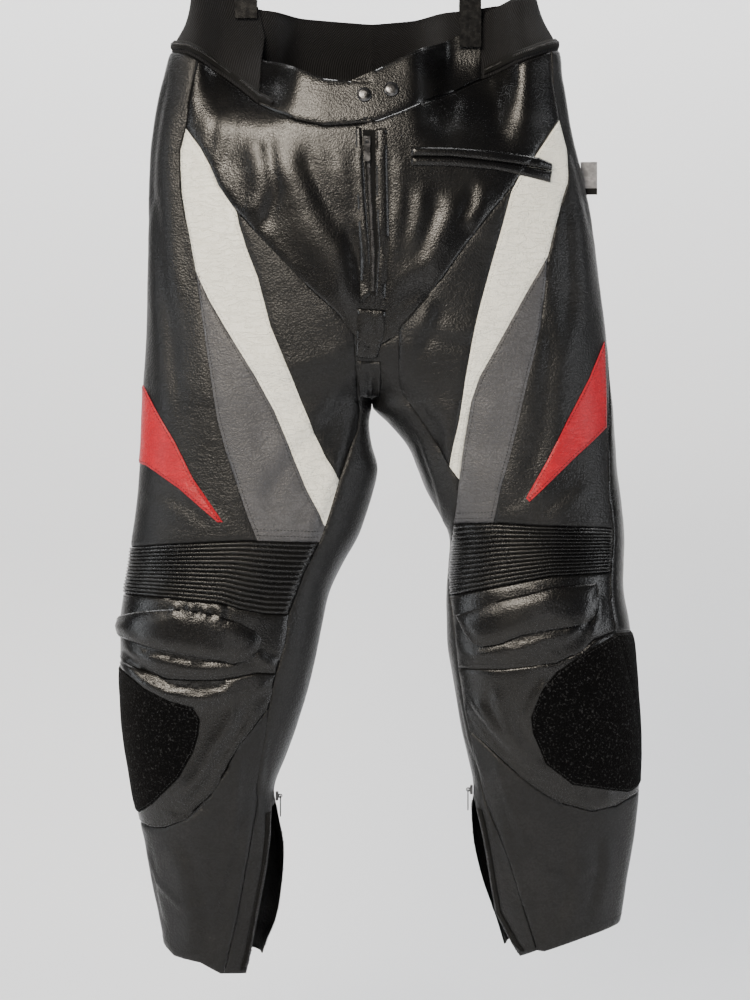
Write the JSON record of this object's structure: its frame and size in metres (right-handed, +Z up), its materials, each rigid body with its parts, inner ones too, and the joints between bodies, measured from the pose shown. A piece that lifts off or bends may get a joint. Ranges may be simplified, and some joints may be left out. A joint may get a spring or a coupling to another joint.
{
  "type": "leather riding pants on a clip hanger",
  "caption": "Padded leather riding pants with colour-blocked thighs, ribbed knees and open ankle zips, hanging from a clip hanger",
  "frame": {"origin": "inside top of the hanger's hook, where a rail carries it", "axes": "+Z up, the front of the pants faces -Y, the wearer's left is +X"},
  "size_m": [0.5745, 0.1749, 1.1821],
  "materials": {
    "leather_black": "glossy pebble-grain leather",
    "leather_charcoal": "semi-matte pebble-grain leather",
    "leather_white": "white pebble-grain leather",
    "leather_grey": "grey pebble-grain leather",
    "leather_red": "red leather with fine creases",
    "rib_knit": "rib knit",
    "hook_loop": "hook and loop pile",
    "zip_tape": "woven zip tape",
    "gunmetal": "dark gunmetal",
    "tag_cloth": "woven tag",
    "hanger_plastic": "black moulded plastic",
    "hanger_steel": "polished steel"
  },
  "bodies": {
    "root": {"waist_knit_R": "rib_knit", "waist_front_R": "leather_black", "hip_front_R": "leather_black", "thigh_inner_R": "leather_charcoal", "stripe_white_R": "leather_white", "stripe_grey_R": "leather_grey", "thigh_side_R": "leather_charcoal", "knee_ribs_R": "leather_black", "knee_band_R": "leather_black", "knee_cup_R": "leather_black", "shin_R": "leather_charcoal", "inner_leg_R": "leather_charcoal", "seat_R": "leather_black", "calf_R": "leather_charcoal", "waist_knit_L": "rib_knit", "hip_front_L": "leather_black", "thigh_inner_L": "leather_charcoal", "stripe_white_L": "leather_white", "stripe_grey_L": "leather_grey", "thigh_side_L": "leather_charcoal", "knee_ribs_L": "leather_black", "knee_band_L": "leather_black", "knee_cup_L": "leather_black", "shin_L": "leather_charcoal", "inner_leg_L": "leather_charcoal", "seat_L": "leather_black", "calf_L": "leather_charcoal", "accent_red_R": "leather_red", "knee_flap_R": "leather_black", "knee_patch_R": "hook_loop", "ankle_tape_R": "zip_tape", "fly_facing_R": "leather_black", "waist_zip_R": "zip_tape", "accent_red_L": "leather_red", "knee_flap_L": "leather_black", "knee_patch_L": "hook_loop", "ankle_tape_L": "zip_tape", "fly_facing_L": "leather_black", "pocket_upper_L": "leather_black", "pocket_lower_L": "leather_black", "waist_zip_L": "zip_tape", "fly_tape_C": "zip_tape", "fly_tab_C": "leather_black", "crotch_gusset_C": "leather_charcoal", "waist_front_L": "leather_black", "snap_outer": "gunmetal", "snap_inner": "gunmetal", "fly_slider": "gunmetal", "ankle_R_slider": "gunmetal", "ankle_L_slider": "gunmetal", "side_tag": "tag_cloth", "hanger_rail": "hanger_steel", "hanger_hook": "hanger_steel", "clip_R": "hanger_plastic", "clip_L": "hanger_plastic"},
    "fly_pull": {"fly_pull": "gunmetal"},
    "ankle_R_pull": {"ankle_R_pull": "gunmetal"},
    "ankle_L_pull": {"ankle_L_pull": "gunmetal"}
  },
  "joints": [
    {"name": "fly_pull_swing", "type": "hinge", "parent": "root", "child": "fly_pull", "pos_m": [0.008, -0.08569, -0.274], "axis": [1, 0, 0], "range_deg": [-150, 0]},
    {"name": "ankle_R_pull_swing", "type": "hinge", "parent": "root", "child": "ankle_R_pull", "pos_m": [-0.08741, -0.00284, -0.985], "axis": [0, 1, 0], "range_deg": [-150, 0]},
    {"name": "ankle_L_pull_swing", "type": "hinge", "parent": "root", "child": "ankle_L_pull", "pos_m": [0.11861, -0.00368, -0.978], "axis": [0, -1, 0], "range_deg": [-150, 0]}
  ]
}
